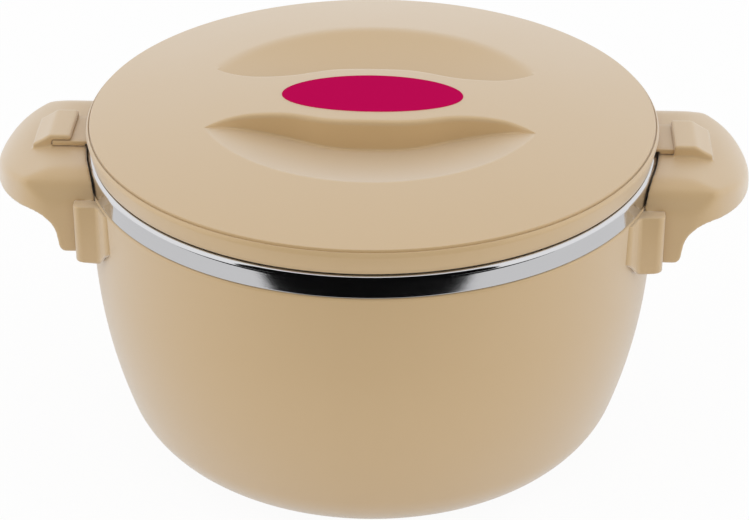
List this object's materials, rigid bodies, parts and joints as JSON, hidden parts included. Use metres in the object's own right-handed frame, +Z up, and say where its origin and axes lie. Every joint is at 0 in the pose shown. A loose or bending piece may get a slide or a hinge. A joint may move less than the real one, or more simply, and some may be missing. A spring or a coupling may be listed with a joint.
{
  "type": "insulated serving bowl",
  "caption": "Round insulated serving bowl with a steel liner, ear handles and a domed twist-lock lid that has a grip bar across a round dish.",
  "frame": {"origin": "middle of the foot ring's underside", "axes": "+Z up along the bowl's axis, +X through the right handle"},
  "size_m": [0.318, 0.2402, 0.1563],
  "materials": {
    "moulding": "satin",
    "pan": "satin",
    "stopper": "matte",
    "steel": "polished",
    "foam": "matte",
    "seal": "matte",
    "badge": "gloss"
  },
  "bodies": {
    "bowl": {"outer_bowl": "moulding", "bowl_insulation": "foam", "liner": "steel", "base_plug": "stopper", "handle_left": "moulding", "handle_right": "moulding"},
    "seal": {"lid_seal": "seal"},
    "lid": {"lid_top": "moulding", "lid_insulation": "foam", "lid_inner": "pan", "lid_plug": "stopper", "badge": "badge"}
  },
  "joints": [
    {"name": "lid_lift", "type": "slide", "parent": "bowl", "child": "seal", "axis": [0, 0, 1], "range_m": [0, 0.15]},
    {"name": "lid_twist", "type": "hinge", "parent": "seal", "child": "lid", "pos_m": [0, 0, 0.1376], "axis": [0, 0, 1], "range_deg": [0, 13]}
  ]
}
